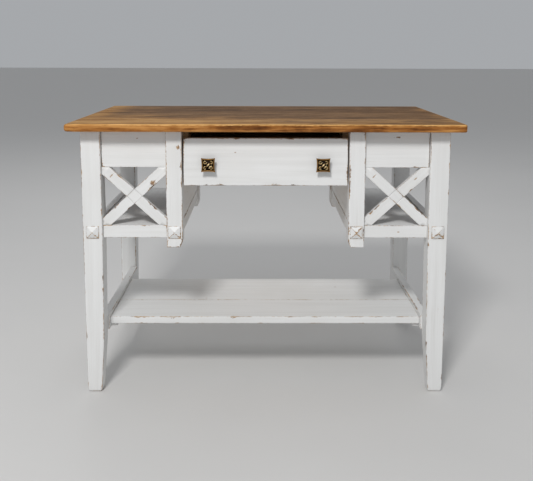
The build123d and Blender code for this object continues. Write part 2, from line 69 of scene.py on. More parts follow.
# ---------------------------------------------------------------- shader helper
class Shade:
    """One material, with short words for the nodes it is built from."""

    def __init__(self, name):
        self.material = bpy.data.materials.new(name)
        self.material.use_nodes = True
        self.tree = self.material.node_tree
        self.tree.nodes.clear()
        output = self.tree.nodes.new("ShaderNodeOutputMaterial")
        self.bsdf = self.tree.nodes.new("ShaderNodeBsdfPrincipled")
        self.tree.links.new(self.bsdf.outputs["BSDF"], output.inputs["Surface"])

    def feed(self, socket, value):
        """Links a socket to another one, or sets its value."""
        if isinstance(value, bpy.types.NodeSocket):
            self.tree.links.new(value, socket)
        else:
            socket.default_value = value

    def add(self, kind, inputs, **settings):
        """A node with these settings, whose inputs are given by name or number."""
        node = self.tree.nodes.new("ShaderNode" + kind)
        for key, value in settings.items():
            setattr(node, key, value)
        for key, value in inputs.items():
            self.feed(node.inputs[key], value)
        return node

    def math(self, operation, first, second=0.0):
        """Arithmetic on two numbers."""
        return self.add("Math", {0: first, 1: second}, operation=operation).outputs[0]

    def vector(self, operation, first, second=(0, 0, 0)):
        """Arithmetic on two vectors."""
        return self.add("VectorMath", {0: first, 1: second}, operation=operation).outputs[0]

    def attribute(self, name, kind="GEOMETRY", output="Vector"):
        """What the mesh, or the object, says under a name."""
        return self.add("Attribute", {}, attribute_name=name, attribute_type=kind).outputs[output]

    def noise(self, place, scale, detail=3.0, roughness=0.55, distortion=0.0):
        """Cloudy noise of 0 to 1, with about this many marks to the metre."""
        inputs = {"Vector": place, "Scale": scale, "Detail": detail,
                  "Roughness": roughness, "Distortion": distortion}
        return self.add("TexNoise", inputs).outputs[0]

    def spread(self, value, low, high, to_low=0.0, to_high=1.0):
        """Turns low..high into to_low..to_high, smoothly, and no further."""
        inputs = {0: value, 1: low, 2: high, 3: to_low, 4: to_high}
        return self.add("MapRange", inputs, interpolation_type="SMOOTHSTEP").outputs[0]

    def swing(self, pattern, amount):
        """A pattern of 0 to 1, made to swing evenly about zero by this much."""
        return self.math("MULTIPLY", self.math("SUBTRACT", pattern, 0.5), amount)

    def mix(self, share, first, second):
        """The first colour at a share of 0, the second at 1."""
        return self.add("Mix", {0: share, 6: first, 7: second}, data_type="RGBA").outputs[2]

    def ramp(self, value, stops):
        """A run of colours, given as (place, colour) stops."""
        node = self.add("ValToRGB", {0: value})
        elements = node.color_ramp.elements
        while len(elements) < len(stops):
            elements.new(0.5)
        for element, (place, levels) in zip(elements, stops):
            element.position = place
            element.color = colour(*levels)
        return node.outputs[0]

    def bump(self, height, distance):
        """A normal for a surface that rises by this distance where the height is 1."""
        return self.add("Bump", {"Strength": 1.0, "Distance": distance, "Height": height}).outputs[0]

    def cells(self, place):
        """Scattered cells: a random number for each one, and how far a point is from its middle."""
        cells = self.add("TexVoronoi", {"Vector": place, "Scale": 1.0})
        pick = self.add("SeparateXYZ", {0: cells.outputs["Color"]}).outputs[0]
        return pick, cells.outputs["Distance"]

    def object_place(self):
        """Where a point is on its object."""
        return self.add("TexCoord", {}).outputs["Object"]

    def board_place(self):
        """Where a point is on its board's own axes, moved so that no two boards share their grain."""
        return self.vector("ADD", self.attribute("local"), self.attribute("seed", "OBJECT"))

    def finish(self, **inputs):
        """Feeds the surface shader and gives back the material."""
        for key, value in inputs.items():
            self.feed(self.bsdf.inputs[key.replace("_", " ")], value)
        return self.material


def colour(*levels):
    """A colour from its red, green and blue."""
    return (*levels, 1.0)


# ---------------------------------------------------------------- materials
def along_grain(s, place, along, across):
    """Stretches a pattern along the board's own length."""
    return s.vector("MULTIPLY", place, (along, across, across))


def bared(s, place, chip):
    """Where the paint is gone, from 0 to 1: along rubbed edges, in chips and pits, and in a scar."""
    edge = s.attribute("edge", output="Fac")
    wear = s.attribute("wear", "OBJECT", "Fac")
    stretch = s.noise(place, 13.0, 3.0)
    crumbs = s.noise(along_grain(s, place, 130.0, 300.0), 1.0, 4.0, 0.7)
    rubbed = s.math("MULTIPLY", s.spread(stretch, 0.46, 0.70), s.spread(crumbs, 0.25, 0.75, 0.1, 2.4))
    rubbed = s.math("ADD", rubbed, s.spread(crumbs, 0.42, 0.75, 0.0, 1.1))
    chipped = s.math("MULTIPLY", chip, s.spread(crumbs, 0.3, 0.7, 0.3, 4.0))
    reach = s.math("ADD", s.math("MULTIPLY", rubbed, wear), chipped)
    bare = s.spread(s.math("SUBTRACT", reach, edge), 0.0, 0.35)

    pick, from_pit = s.cells(along_grain(s, place, 22.0, 45.0))
    rare = s.spread(pick, 0.90, 0.93, 0.0, 0.085)
    pitted = s.spread(s.math("SUBTRACT", rare, from_pit), 0.0, 0.03)
    bare = s.math("MAXIMUM", bare, s.math("MULTIPLY", pitted, 0.85))

    from_scar = s.vector("SUBTRACT", s.attribute("local"), s.attribute("scar", "OBJECT"))
    from_scar = s.vector("MULTIPLY", from_scar, s.attribute("scar_scale", "OBJECT"))
    from_scar = s.add("VectorMath", {0: from_scar}, operation="LENGTH").outputs["Value"]
    ragged = s.spread(crumbs, 0.3, 0.7, 0.35, 1.35)
    scarred = s.spread(s.math("SUBTRACT", ragged, from_scar), 0.0, 0.15)
    return s.math("MAXIMUM", bare, s.math("MULTIPLY", scarred, s.attribute("scarred", "OBJECT", "Fac")))


def wood_under_paint(s, place, chip):
    """Streaky brown wood, darker where a chip goes deep."""
    streak = s.noise(along_grain(s, place, 25.0, 420.0), 1.0, 4.0, 0.7)
    streak = s.math("SUBTRACT", streak, s.math("MULTIPLY", s.spread(chip, 0.7, 1.1), 0.11))
    return s.ramp(streak, [(0.30, (0.060, 0.030, 0.015)), (0.42, (0.260, 0.150, 0.078)),
                           (0.56, (0.540, 0.370, 0.215))])


def painted_wood():
    """White brushed paint over wood, rubbed and chipped through along the edges."""
    s = Shade("white_paint")
    place = s.board_place()
    chip = s.attribute("chip", output="Fac")
    bare = bared(s, place, chip)

    fibre = s.noise(along_grain(s, place, 9.0, 330.0), 1.0, 4.0, 0.6)
    strokes = s.noise(along_grain(s, place, 3.0, 75.0), 1.0, 3.0, 0.5)
    cloud = s.noise(place, 5.0, 2.0)
    white, brushed = colour(0.80, 0.80, 0.79), colour(0.755, 0.753, 0.74)
    thin, yellowed = colour(0.60, 0.585, 0.55), colour(0.73, 0.722, 0.70)
    paint = s.mix(s.spread(strokes, 0.35, 0.7), white, brushed)
    paint = s.mix(s.spread(fibre, 0.56, 0.75, 0.0, 0.35), paint, thin)
    paint = s.mix(s.spread(cloud, 0.45, 0.75, 0.0, 0.5), paint, yellowed)

    skin_height = s.math("SUBTRACT", s.math("MULTIPLY", fibre, 0.35), bare)
    normal = s.bump(s.math("ADD", skin_height, s.math("MULTIPLY", strokes, 0.5)), 0.28 * MM)
    roughness = s.spread(bare, 0.0, 1.0, 0.5, 0.8)
    planed = planed_colour(s, along_grain(s, place, 1.6, 46.0))[0]
    worn_paint = s.mix(bare, paint, wood_under_paint(s, place, chip))
    surface = s.mix(s.attribute("raw", output="Fac"), worn_paint, planed)
    return s.finish(Base_Color=surface, Roughness=roughness, Normal=normal)


def plank_figure(s, place, fibre, patch):
    """The light and dark of long grain that bends round a few knots, with patches and mottling."""
    pick, from_knot = s.cells(s.vector("MULTIPLY", place, (2.6, 7.5, 7.5)))
    chosen = s.spread(pick, 0.74, 0.76)
    knot = s.math("MULTIPLY", chosen, s.spread(from_knot, 0.02, 0.13, 1.0, 0.0))
    swirl = s.math("MULTIPLY", chosen, s.spread(from_knot, 0.0, 0.45, 1.6, 0.0))
    bend = s.math("ADD", s.math("MULTIPLY", s.noise(place, 1.8, 2.0), 2.2), swirl)
    waved = s.vector("ADD", along_grain(s, place, 1.1, 30.0), s.add("CombineXYZ", {1: bend}).outputs[0])
    rings = s.noise(waved, 1.0, 5.0, 0.62, 0.35)
    mottle = s.noise(s.vector("MULTIPLY", place, (24.0, 70.0, 70.0)), 1.0, 3.0, 0.7)
    figure = s.math("ADD", s.math("MULTIPLY", rings, 0.68), s.math("MULTIPLY", fibre, 0.26))
    figure = s.math("ADD", figure, s.swing(patch, 0.42))
    figure = s.math("ADD", figure, s.swing(mottle, 0.34))
    figure = s.math("ADD", figure, s.math("ADD", s.attribute("tone", "OBJECT", "Fac"), 0.04))
    return s.math("SUBTRACT", figure, s.math("MULTIPLY", knot, 0.22))


def stain(s, place, figure, patch):
    """Brown stain that thins to orange where it is rubbed, and an orange side face with dark streaks."""
    polish = s.attribute("polish", output="Fac")
    full = s.ramp(figure, [(0.26, (0.021, 0.009, 0.003)), (0.40, (0.086, 0.038, 0.011)),
                           (0.54, (0.165, 0.079, 0.022)), (0.72, (0.285, 0.150, 0.047))])
    thinned = s.ramp(figure, [(0.26, (0.075, 0.028, 0.007)), (0.40, (0.240, 0.110, 0.027)),
                              (0.54, (0.370, 0.184, 0.048)), (0.72, (0.500, 0.277, 0.085))])
    blotch = s.noise(along_grain(s, place, 8.0, 170.0), 1.0, 5.0, 0.65)
    # Lower polish also makes the side face darker towards the right.
    side_figure = s.math("ADD", figure, s.math("MULTIPLY", s.math("SUBTRACT", polish, 1.0), 0.15))
    side_figure = s.math("ADD", side_figure, s.swing(blotch, 0.85))
    side = s.ramp(side_figure, [(0.25, (0.040, 0.012, 0.003)), (0.39, (0.165, 0.056, 0.012)),
                           (0.51, (0.330, 0.128, 0.029)), (0.70, (0.540, 0.255, 0.075))])
    rubbed_thin = s.spread(s.math("ADD", polish, s.swing(patch, 1.5)), 0.15, 1.0)
    turned = s.spread(s.attribute("turned", output="Fac"), 0.2, 0.8)
    return s.mix(turned, s.mix(rubbed_thin, full, thinned), side)


def stained_wood():
    """Plank-top wood: brown stain over long grain, rubbed back to orange towards the edges.

    The mesh says how near a point is to the top's rim and to its bottom edge, in millimetres, how far the
    stain is rubbed thin and darker towards the right (polish), and how far round the rim a point lies on
    the side faces (turned)."""
    s = Shade("stained_top")
    place = s.board_place()
    rim = s.attribute("rim", output="Fac")
    sill = s.attribute("sill", output="Fac")
    fibre = s.noise(along_grain(s, place, 11.0, 420.0), 1.0, 4.0, 0.65)
    patch = s.noise(s.vector("MULTIPLY", place, (6.0, 15.0, 15.0)), 1.0, 5.0, 0.65)
    figure = plank_figure(s, place, fibre, patch)
    wood = stain(s, place, figure, patch)

    crumbs = s.noise(along_grain(s, place, 45.0, 190.0), 1.0, 4.0, 0.7)
    reach = s.spread(crumbs, 0.28, 0.72, 2.6, 5.5)
    rubbed = s.spread(s.math("SUBTRACT", reach, rim), 0.0, 2.0, 0.0, 0.95)
    below = s.spread(s.math("SUBTRACT", s.math("MULTIPLY", reach, 0.5), sill), 0.0, 1.6, 0.0, 0.6)
    bare = s.mix(s.spread(fibre, 0.35, 0.65), colour(0.50, 0.240, 0.066), colour(0.78, 0.46, 0.17))
    wood = s.mix(s.math("MAXIMUM", rubbed, below), wood, bare)

    pores = s.spread(s.noise(along_grain(s, place, 60.0, 900.0), 1.0, 3.0, 0.7), 0.60, 0.72)
    wood = s.mix(s.math("MULTIPLY", pores, 0.5), wood, colour(0.02, 0.011, 0.006))
    height = s.math("SUBTRACT", s.math("MULTIPLY", figure, 1.2), pores)
    s.bsdf.inputs["Specular IOR Level"].default_value = 0.12
    roughness = s.spread(figure, 0.3, 0.7, 0.68, 0.52)
    return s.finish(Base_Color=wood, Roughness=roughness, Normal=s.bump(height, 0.3 * MM))


def planed_colour(s, place):
    """Pale softwood: its colour and its figure, for a place already stretched along the grain."""
    rings = s.noise(place, 1.0, 5.0, 0.6, 0.5)
    fibre = s.noise(s.vector("MULTIPLY", place, (8.0, 9.0, 9.0)), 1.0, 3.0, 0.6)
    figure = s.math("ADD", s.math("MULTIPLY", rings, 0.75), s.math("MULTIPLY", fibre, 0.25))
    wood = s.ramp(figure, [(0.32, (0.27, 0.150, 0.070)), (0.50, (0.47, 0.310, 0.170)),
                           (0.70, (0.60, 0.440, 0.270))])
    return wood, figure


def bare_wood(name, grain):
    """Planed, unfinished softwood for what the paint never reached, with its grain along one axis."""
    s = Shade(name)
    place = s.object_place()
    if grain == Y:
        quarter_turn = {"Vector": place, "Angle": math.pi / 2}
        place = s.add("VectorRotate", quarter_turn, rotation_type="Z_AXIS").outputs[0]
    wood, figure = planed_colour(s, along_grain(s, place, 1.6, 46.0))
    roughness = s.spread(figure, 0.3, 0.7, 0.75, 0.6)
    return s.finish(Base_Color=wood, Roughness=roughness, Normal=s.bump(figure, 0.25 * MM))


def screw_steel():
    """Zinc-plated steel, dulled unevenly."""
    s = Shade("screw_steel")
    place = s.object_place()
    tarnish = s.noise(place, 260.0, 4.0, 0.6)
    tint = s.mix(s.spread(tarnish, 0.4, 0.7), colour(0.62, 0.61, 0.58), colour(0.36, 0.34, 0.31))
    s.bsdf.inputs["Metallic"].default_value = 1.0
    return s.finish(Base_Color=tint, Roughness=s.spread(tarnish, 0.3, 0.7, 0.28, 0.5),
                    Normal=s.bump(tarnish, 0.03 * MM))


def antique_brass():
    """Cast brass with a brown patina that is polished off wherever it stands out."""
    s = Shade("antique_brass")
    place = s.object_place()
    raised = s.attribute("raised", output="Fac")
    mottle = s.noise(place, 420.0, 4.0, 0.65)
    polish = s.math("ADD", raised, s.swing(mottle, 0.9))
    tint = s.ramp(polish, [(0.10, (0.012, 0.007, 0.003)), (0.40, (0.180, 0.088, 0.022)),
                           (0.70, (0.400, 0.235, 0.078)), (0.95, (0.800, 0.620, 0.330))])
    s.bsdf.inputs["Metallic"].default_value = 0.75
    return s.finish(Base_Color=tint, Roughness=s.spread(polish, 0.2, 0.9, 0.6, 0.3),
                    Normal=s.bump(mottle, 0.1 * MM))


def floor_plaster():
    """A plain pale studio floor with a little unevenness."""
    s = Shade("floor")
    place = s.object_place()
    cloud = s.noise(place, 1.4, 4.0, 0.6)
    tint = s.mix(cloud, colour(0.64, 0.63, 0.615), colour(0.68, 0.67, 0.655))
    return s.finish(Base_Color=tint, Roughness=s.spread(cloud, 0.3, 0.7, 0.7, 0.85),
                    Normal=s.bump(cloud, 0.4 * MM))


MATERIALS = {
    "white_paint": painted_wood(),
    "stained_top": stained_wood(),
    "bare_wood": bare_wood("bare_wood", X),
    "bare_wood_along_y": bare_wood("bare_wood_along_y", Y),
    "screw_steel": screw_steel(),
    "antique_brass": antique_brass(),
}


# ---------------------------------------------------------------- mesh helpers
def dress(piece, body, slot, *nodes):
    """Gives a piece its material and its body, and hides the CAD nodes it stands for."""
    for polygon in piece.data.polygons:
        polygon.use_smooth = True
    piece.data.materials.clear()
    piece.data.materials.append(MATERIALS[slot])
    bpy.context.scene.collection.objects.link(piece)
    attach(piece, body)
    if nodes:
        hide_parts(*nodes)
    return piece


def mark(mesh, **values):
    """Stores one number for each point of a mesh, under each name, for the materials to read."""
    for name, numbers in values.items():
        mesh.attributes.new(name, "FLOAT", "POINT").data.foreach_set("value", numbers)


def mark_local(mesh, places):
    """Stores each point's place on its board's own axes."""
    flat = [c for p in places for c in p]
    mesh.attributes.new("local", "FLOAT_VECTOR", "POINT").data.foreach_set("vector", flat)


def cuts(length, radius, step):
    """Places along one side of a board: close together by both ends, then evenly spaced."""
    near_ends = (0.0, 0.3, 0.65, 1.1, 2.2)
    near = [length / 2 - radius * k for k in near_ends]
    inner = near[-1]
    count = max(2, round(2 * inner / step))
    middle = [inner * (2 * i / count - 1) for i in range(1, count)]
    return sorted([-place for place in near] + middle + near)


def skin(places):
    """The closed skin of a block, cut at these places along its three sides."""
    index, points, faces = {}, [], []
    last = [len(p) - 1 for p in places]
    quad_corners = ((0, 0), (1, 0), (1, 1), (0, 1))

    def corner(axis, end, a, i, b, j):
        """The number of the point at these cuts, which is made when it is first asked for."""
        key = [0, 0, 0]
        key[axis], key[a], key[b] = end, i, j
        key = tuple(key)
        if key not in index:
            index[key] = len(points)
            points.append(Vector(places[k][key[k]] for k in range(3)))
        return index[key]

    for axis in range(3):
        a, b = (axis + 1) % 3, (axis + 2) % 3
        for end in (0, last[axis]):
            for i in range(last[a]):
                for j in range(last[b]):
                    quad = [corner(axis, end, a, i + di, b, j + dj) for di, dj in quad_corners]
                    faces.append(quad if end else quad[::-1])
    return points, faces


def smooth(value, low, high):
    """Rises smoothly from 0 at low to 1 at high."""
    t = min(max((value - low) / (high - low), 0.0), 1.0)
    return t * t * (3 - 2 * t)


def own_axes(size, grain):
    """The matrix from a board's own axes, and its size along them: longest first, or the grain first."""
    order = sorted(range(3), key=lambda axis: size[axis], reverse=True)
    if grain is not None:
        order.remove(grain)
        order.insert(0, grain)
    turn = Matrix([[1.0 if order[c] == r else 0.0 for c in range(3)] for r in range(3)])
    if turn.determinant() < 0:
        turn = turn @ Matrix.Diagonal((1, 1, -1))
    return turn, Vector(size[axis] for axis in order)


def wander(p, seed, per_metre):
    """Smooth noise of about -1 to 1 that differs from board to board."""
    return noise.noise((p + seed) * per_metre)


def chip_depth(p, half, seed, chips):
    """How deep in a chip a point is: in a random one, or in one of the board's own chips."""
    swells_per_metre = 38.0
    deepest, outside, slope = 1.2, 1.4, 0.9
    depth = smooth(wander(p, seed, swells_per_metre), 0.34, 0.66)
    for along, across, reach in chips:
        away = math.hypot(p.x - along * half.x, p.y - across * half.y) / (reach * MM)
        depth = max(depth, deepest * smooth(outside - away, 0.0, slope))
    return depth


def board(name, low, high, slot="white_paint", nodes=(), body="frame", grain=None, radius=1.6,
          step=12.0, wear=1.0, tone=0.0, tight=None, joined=None, turn=None, warp=None, clips=(),
          chips=(), scar=None):
    """A real board: softened and chipped edges, and its own stretch of grain.

    A board's own axes run along its grain, across it and through it. radius and step are millimetres.
    tight(place, half) gives a smaller radius where the board meets its neighbour, joined(place, half)
    says where its long edge stays square, turn is the matrix from the board's own axes, warp moves
    finished points, and clips cuts the mesh with planes. chips are (along, across, millimetres) with the
    first two from -1 to 1, and scar is a bare spot: its place and its half sizes, in millimetres."""
    low, high = Vector(low), Vector(high)
    size = high - low
    if turn is None:
        turn, size = own_axes(size, grain)
    middle = (low + high) / 2
    half = size / 2
    draw = random.Random(name)
    seed = Vector(draw.uniform(-9, 9) for _ in range(3))
    radius = min(radius * MM, min(size) / 2.4)
    cross_step = 30 * MM
    wobble, wobbles_per_metre, chip_growth = 0.2, 140.0, 0.7
    points, faces = skin([cuts(size[0], radius, step * MM), cuts(size[1], radius, cross_step),
                          cuts(size[2], radius, cross_step)])
    edges, chipping, placed = [], [], []
    for p in points:
        chip = chip_depth(p, half, seed, chips)
        r = radius * (1 + wobble * wander(p, seed, wobbles_per_metre)) * (1 + chip_growth * chip)
        if tight is not None:
            r = min(r, tight(p, half))
        inner = Vector(min(max(p[k], r - half[k]), half[k] - r) for k in range(3))
        if joined is not None and joined(p, half):
            inner.y = p.y
        out = p - inner
        rounded = turn @ (inner + out.normalized() * min(r, out.length)) + middle
        placed.append(warp(rounded) if warp else rounded)
        to_faces = sorted(half[k] - abs(p[k]) for k in range(3))
        edges.append(to_faces[1] / MM)
        chipping.append(chip)
    mesh = bpy.data.meshes.new(name)
    mesh.from_pydata(placed, [], faces)
    mark_local(mesh, points)
    mark(mesh, edge=edges, chip=chipping)
    if clips:
        clip(mesh, clips)
    piece = bpy.data.objects.new(name, mesh)
    piece["seed"] = list(seed)
    piece["wear"] = wear
    piece["tone"] = tone
    spot, spans = scar or ((0, 0, 0), (1, 1, 1))
    piece["scarred"] = float(scar is not None)
    piece["scar"] = [c * MM for c in spot]
    piece["scar_scale"] = [1 / (c * MM) for c in spans]
    return dress(piece, body, slot, *nodes)


def painted(node, box, **options):
    """A painted board that stands for one node, with that node's own chips and bare spot."""
    low, high = box
    return board(f"painted_{node}", low, high, nodes=[node], chips=CHIPS.get(node, ()),
                 scar=SCARS.get(node), **options)


def cut_away(source, planes):
    """A copy of a mesh with everything in front of each plane removed and the holes closed."""
    work = source.copy()
    for point, normal in planes:
        everything = work.verts[:] + work.edges[:] + work.faces[:]
        bmesh.ops.bisect_plane(work, geom=everything, plane_co=point, plane_no=normal, clear_outer=True)
        bmesh.ops.holes_fill(work, edges=[e for e in work.edges if e.is_boundary], sides=0)
    return work


def clip(mesh, pieces):
    """Keeps what each list of planes leaves of a mesh, joined into one."""
    source = bmesh.new()
    source.from_mesh(mesh)
    kept = bmesh.new()
    part = bpy.data.meshes.new("part")
    for planes in pieces:
        work = cut_away(source, planes)
        work.to_mesh(part)
        kept.from_mesh(part)
        work.free()
    kept.to_mesh(mesh)
    kept.free()
    source.free()
    bpy.data.meshes.remove(part)


def side_of(node, axis, toward):
    """Where a node ends along one axis, on its lower (-1) or higher (+1) side."""
    low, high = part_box(node)
    return high[axis] if toward > 0 else low[axis]


def trimmed(node, axis, limits):
    """A node's box with its tenons left off, given where the seen part ends along one axis."""
    low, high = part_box(node)
    low[axis], high[axis] = min(limits), max(limits)
    return low, high


# ---------------------------------------------------------------- wear that the desk really has
# Chipped edges: (along, across, size in millimetres), the first two from -1 to 1 along and across a board.
CHIPS = {
    "post_front_left": ((-0.97, 0.9, 12), (-0.88, 1, 8), (0.1, 1, 5), (0.46, -1, 4)),
    "post_front_right": ((0.97, 1, 12), (0.35, -1, 9), (0.22, -1, 11), (0.1, -1, 13), (-0.04, -1, 9),
                         (-0.7, 1, 5), (-0.9, -1, 6)),
    "leg_front_left": ((0.4, 1, 6), (-0.1, 1, 7), (-0.2, 1, 6), (-0.95, 1, 5), (0.7, -1, 4)),
    "leg_front_right": ((0.15, -1, 6), (-0.62, -1, 8), (-0.72, -1, 6), (0.55, 1, 5), (-0.55, 1, 4)),
    "drawer_front": ((-0.99, 0.99, 12), (0.3, 1, 9), (-0.35, 1, 6), (0.12, -1, 9), (0.35, -1, 12),
                     (-0.55, -1, 8), (-0.72, -1, 6), (0.99, 0.3, 7), (0.99, -0.4, 9)),
    "brace_rising_left": ((0.40, -1, 11), (-0.25, -1, 5), (-0.45, 1, 6)),
    "brace_falling_left": ((0.36, 1, 8), (0.46, 1, 8), (-0.5, 1, 5)),
    "brace_rising_right": ((-0.45, 1, 8), (-0.6, 1, 6), (0.3, -1, 5)),
    "brace_falling_right": ((0.5, 1, 8), (0.62, 1, 7), (0.72, 1, 5)),
    "apron_front_right": ((0.55, -1, 8),),
    "stretcher_right": ((-0.75, 0.9, 9), (-0.6, 0.9, 10), (-0.45, 0.9, 7)),
}
# Bare spots on a board's face: the place on its own axes and the half sizes, in millimetres.
SCARS = {
    "post_front_left": ((116, 12, -21), (6, 6, 4)),
    "brace_rising_left": ((62, -6, 9), (10, 6, 4)),
    "brace_falling_left": ((-84, 0, 9), (1.5, 9, 4)),
    "brace_falling_right": ((-84, 0, 9), (1.5, 9, 4)),
    "brace_rising_right": ((70, 2, 9), (6, 1.5, 4)),
    "apron_front_right": ((0, 33, 10), (11, 2.2, 4)),
    "apron_front_left": ((10, 28, 10), (5, 2.2, 4)),
}


# ---------------------------------------------------------------- plank top
def build_top():
    """Five planks with a rounded rim, and a fuller rounding along the top's left end."""
    names = sorted(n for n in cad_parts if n.startswith("top_board"))
    tones = (0.035, -0.015, 0.01, -0.03, -0.01)        # from front to back, darker below 0
    corner, left_end, rim = 7 * MM, 18 * MM, 5 * MM
    end_radius, rim_radius, joint_radius = 8.0, 4.0, 0.35
    for index, node in enumerate(names):
        low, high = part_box(node)
        outer = {0: -1, len(names) - 1: 1}.get(index, 0)

        def tight(p, half, outer=outer):
            """Planks meet at nearly square edges; only the outside of the top is rounded."""
            if -p.x > half.x - left_end:
                return end_radius * MM
            if p.y * outer > half.y - rim or p.x > half.x - rim:
                return rim_radius * MM
            return joint_radius * MM

        def joined(p, half, outer=outer):
            """The rounded left end runs straight on from plank to plank."""
            return -p.x > half.x - left_end and p.y * outer <= 0

        def plan(p, outer=outer):
            """Rounds the top's outer corners in plan."""
            over = Vector((abs(p.x) - (cad_high.x - corner), p.y * outer - (cad_high.y - corner)))
            if outer and over.x > 0 and over.y > 0:
                reach = max(over) / over.length
                p.x = math.copysign(cad_high.x - corner + over.x * reach, p.x)
                p.y = outer * (cad_high.y - corner + over.y * reach)
            return p

        piece = board(f"stained_{node}", low, high, "stained_top", [node], radius=end_radius, step=11,
                      tone=tones[index], tight=tight, joined=joined, warp=plan)
        add_top_wear(piece.data, outer, high.z, low.z)


def add_top_wear(mesh, outer, top, bottom):
    """Says how near each point of a plank is to the top's rim, in millimetres, and how rubbed it is.

    It is rubbed most along the front edge and the two ends, and is darker towards the right."""
    front_fade, end_fade = 420 * MM, 150 * MM
    darker_from, darker_to = -550 * MM, 350 * MM
    far = 1.0
    rims, sills, polishes, turns = [], [], [], []
    for vertex in mesh.vertices:
        p = vertex.co
        from_end = cad_high.x - abs(p.x)
        from_side = cad_high.y - p.y * outer if outer else far
        inset = min(from_end, from_side)
        rims.append(max(inset, top - p.z) / MM)
        sills.append(max(inset, p.z - bottom) / MM)
        by_front = 1.0 - 0.9 * smooth(p.y - cad_low.y, 0.0, front_fade)
        by_end = 0.9 - smooth(from_end, 0.0, end_fade)
        # Darker towards the right: polish falls from left to right across the top.
        darker_right = 0.54 * smooth(p.x, darker_from, darker_to) - 0.12
        polishes.append(max(by_front, by_end) - darker_right)
        turns.append(smooth(top - p.z, 1.0 * MM, 3.0 * MM))
    mark(mesh, rim=rims, sill=sills, polish=polishes, turned=turns)


build_top()


# ---------------------------------------------------------------- legs and posts
def build_legs():
    """Legs that taper on their two inner faces, and posts that hang below the lower rails."""
    for end, sy in ENDS.items():
        for side, sx in SIDES.items():
            build_leg(f"leg_{end}_{side}", sx, sy)
            build_post(f"post_{end}_{side}", sx)


def build_leg(node, sx, sy):
    """One leg: a slow taper down to the knee, a quick one below it, and a rounded foot."""
    knee, start = 150 * MM, 440 * MM
    slow_cut, quick_cut_x, quick_cut_y = 4 * MM, 10 * MM, 13 * MM
    edge_radius, foot_radius = 1.5, 7.5
    low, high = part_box(node)
    width = high.x - low.x
    inner = Vector((side_of(node, X, -sx), side_of(node, Y, -sy), 0))

    def toe(p, half):
        """Rounds a leg's foot more than its long edges."""
        share = smooth(-p.x - half.x, -18 * MM, -3 * MM)
        return (edge_radius + (foot_radius - edge_radius) * share) * MM

    def taper(p):
        """Draws the two inner faces in towards the foot."""
        slow = min(max((start - p.z) / (start - knee), 0), 1) * slow_cut
        quick = max((knee - p.z) / knee, 0)
        share = Vector((1 - abs(p.x - inner.x) / width, 1 - abs(p.y - inner.y) / width))
        p.x += math.copysign((slow + quick * quick_cut_x) * share.x, inner.x)
        p.y += math.copysign(quick * quick_cut_y * share.y, inner.y)
        return p

    painted(node, (low, high), grain=Z, radius=foot_radius, tight=toe, warp=taper, wear=1.1, step=8)


def build_post(node, sx):
    """One post, which loses its lower corner on the knee side."""
    cut, rise = 7 * MM, 16 * MM
    low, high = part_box(node)
    outer = side_of(node, X, sx)

    def chamfer(p):
        """Draws the knee side in towards the lower end."""
        share = min(max((low.z + rise - p.z) / rise, 0), 1)
        p.x += sx * cut * share * abs(p.x - outer) / (high.x - low.x)
        return p

    painted(node, (low, high), grain=Z, warp=chamfer, wear=1.3, step=6)


build_legs()


# ---------------------------------------------------------------- aprons, rails, panels and floors
def build_case():
    """Boards between the uprights, drawn without the tenons that the uprights hide."""
    leg_y = (side_of("leg_front_left", Y, 1), side_of("leg_back_left", Y, -1))
    post_y = (side_of("post_front_left", Y, 1), side_of("post_back_left", Y, -1))
    for side, sx in SIDES.items():
        build_bay_fronts(side, sx)
        for node in (f"apron_side_{side}", f"lower_rail_outer_{side}"):
            painted(node, trimmed(node, Y, leg_y), wear=0.8)
        for node in (f"lower_rail_inner_{side}", f"side_panel_{side}"):
            painted(node, trimmed(node, Y, post_y), wear=0.8)
        node = f"stretcher_{side}"
        painted(node, trimmed(node, Y, leg_y), wear=1.1)
        node = f"cubby_floor_{side}"
        inside = (side_of(f"lower_rail_front_{side}", Y, 1), side_of(f"lower_rail_back_{side}", Y, -1))
        painted(node, trimmed(node, Y, inside), grain=Y, wear=0.4)
    node = "apron_back_centre"
    centre = (side_of("post_back_left", X, 1), side_of("post_back_right", X, -1))
    painted(node, trimmed(node, X, centre), wear=0.6)


def build_bay_fronts(side, sx):
    """A bay's aprons and lower rails, front and back, with a fine gap beside the leg."""
    gaps = {"apron": 1.3 * MM, "lower_rail": 0.2 * MM}
    bay = (side_of(f"leg_front_{side}", X, -sx), side_of(f"post_front_{side}", X, sx))
    for end in ENDS:
        for kind, gap in gaps.items():
            node = f"{kind}_{end}_{side}"
            painted(node, trimmed(node, X, (bay[0] - sx * gap, bay[1])), wear=0.8)


def build_shelf():
    """The shelf's two boards, which meet at nearly square edges, and what holds them from below."""
    radius, joint_radius = 2.4, 0.4
    for node, outer in (("shelf_board_front", -1), ("shelf_board_back", 1)):
        def tight(p, half, outer=outer):
            """Only the edge beside the other board stays nearly square."""
            by_joint = p.y * outer < 5 * MM - half.y
            return joint_radius * MM if by_joint else radius * MM

        painted(node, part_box(node), radius=radius, wear=1.5, step=8, tight=tight)
    for node in ("shelf_batten", "shelf_cleat_left", "shelf_cleat_right"):
        painted(node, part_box(node), wear=0.3)


build_case()
build_shelf()


